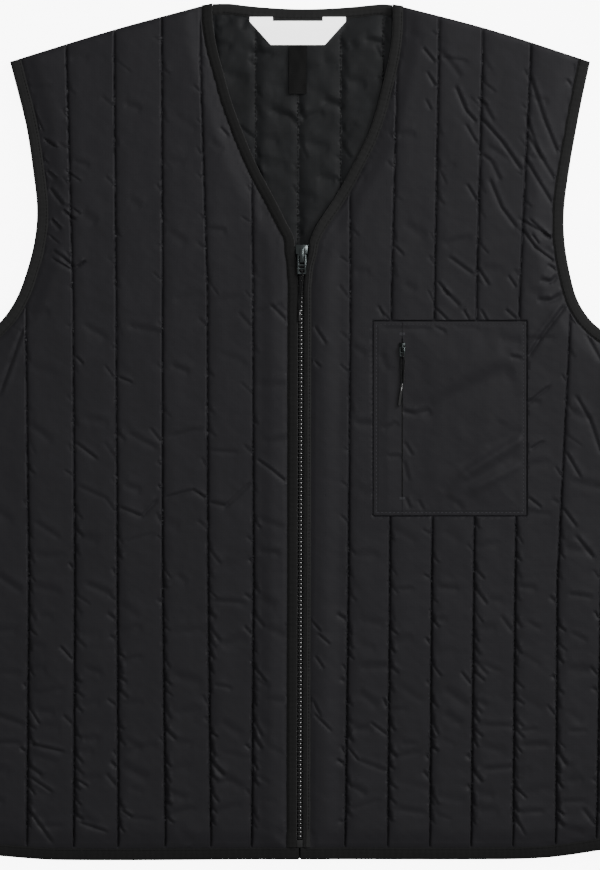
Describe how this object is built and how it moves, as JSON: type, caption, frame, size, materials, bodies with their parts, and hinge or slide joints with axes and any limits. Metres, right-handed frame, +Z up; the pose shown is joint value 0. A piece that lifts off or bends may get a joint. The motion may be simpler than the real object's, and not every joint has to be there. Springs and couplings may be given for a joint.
{
  "type": "quilted liner vest",
  "caption": "Flat-laid quilted liner vest with a V neck, knitted edge bindings, a front zip and a zipped chest pocket",
  "frame": {"origin": "centre of the bounding box at the surface that the vest lies on", "axes": "+X to the wearer's left, +Y to the neck, +Z up, away from the surface"},
  "size_m": [0.544, 0.6865, 0.0157],
  "materials": {
    "shell": "matte woven nylon",
    "lining": "matte woven nylon",
    "knit_binding": "ribbed knit",
    "zip_tape": "woven tape",
    "zip_teeth": "moulded, semi-gloss",
    "gunmetal": "dark plated",
    "cord": "braided",
    "cord_end": "glossy",
    "white_label": "satin",
    "black_label": "satin"
  },
  "bodies": {
    "vest": {"armhole_binding_back_left": "knit_binding", "armhole_binding_back_right": "knit_binding", "armhole_binding_front_left": "knit_binding", "armhole_binding_front_right": "knit_binding", "back": "lining", "front_binding_left": "knit_binding", "front_binding_right": "knit_binding", "front_left": "shell", "front_right": "shell", "hem_binding_back": "knit_binding", "hem_binding_front_left": "knit_binding", "hem_binding_front_right": "knit_binding", "neck_binding_back": "knit_binding", "neck_label": "white_label", "pocket_panel": "shell", "pocket_side": "shell", "pocket_slider": "gunmetal", "pocket_zip_tape": "zip_tape", "pocket_zip_teeth": "zip_teeth", "size_tag": "black_label", "zip_bottom_stop": "zip_teeth", "zip_slider": "gunmetal", "zip_tape_left": "zip_tape", "zip_tape_right": "zip_tape", "zip_teeth": "zip_teeth"},
    "zip_pull": {"zip_pull_tab": "gunmetal", "zip_pull_cord": "cord", "zip_pull_end": "cord_end"},
    "pocket_pull": {"pocket_pull_tab": "gunmetal", "pocket_pull_cord": "cord", "pocket_pull_end": "cord_end"}
  },
  "joints": [
    {"name": "zip_pull_hinge", "type": "hinge", "parent": "vest", "child": "zip_pull", "pos_m": [0.001, 0.1404, 0.0134], "axis": [-1, 0, 0], "range_deg": [0, 160]},
    {"name": "pocket_pull_hinge", "type": "hinge", "parent": "vest", "child": "pocket_pull", "pos_m": [0.0812, 0.0667, 0.01365], "axis": [-1, 0, 0], "range_deg": [0, 160]}
  ]
}
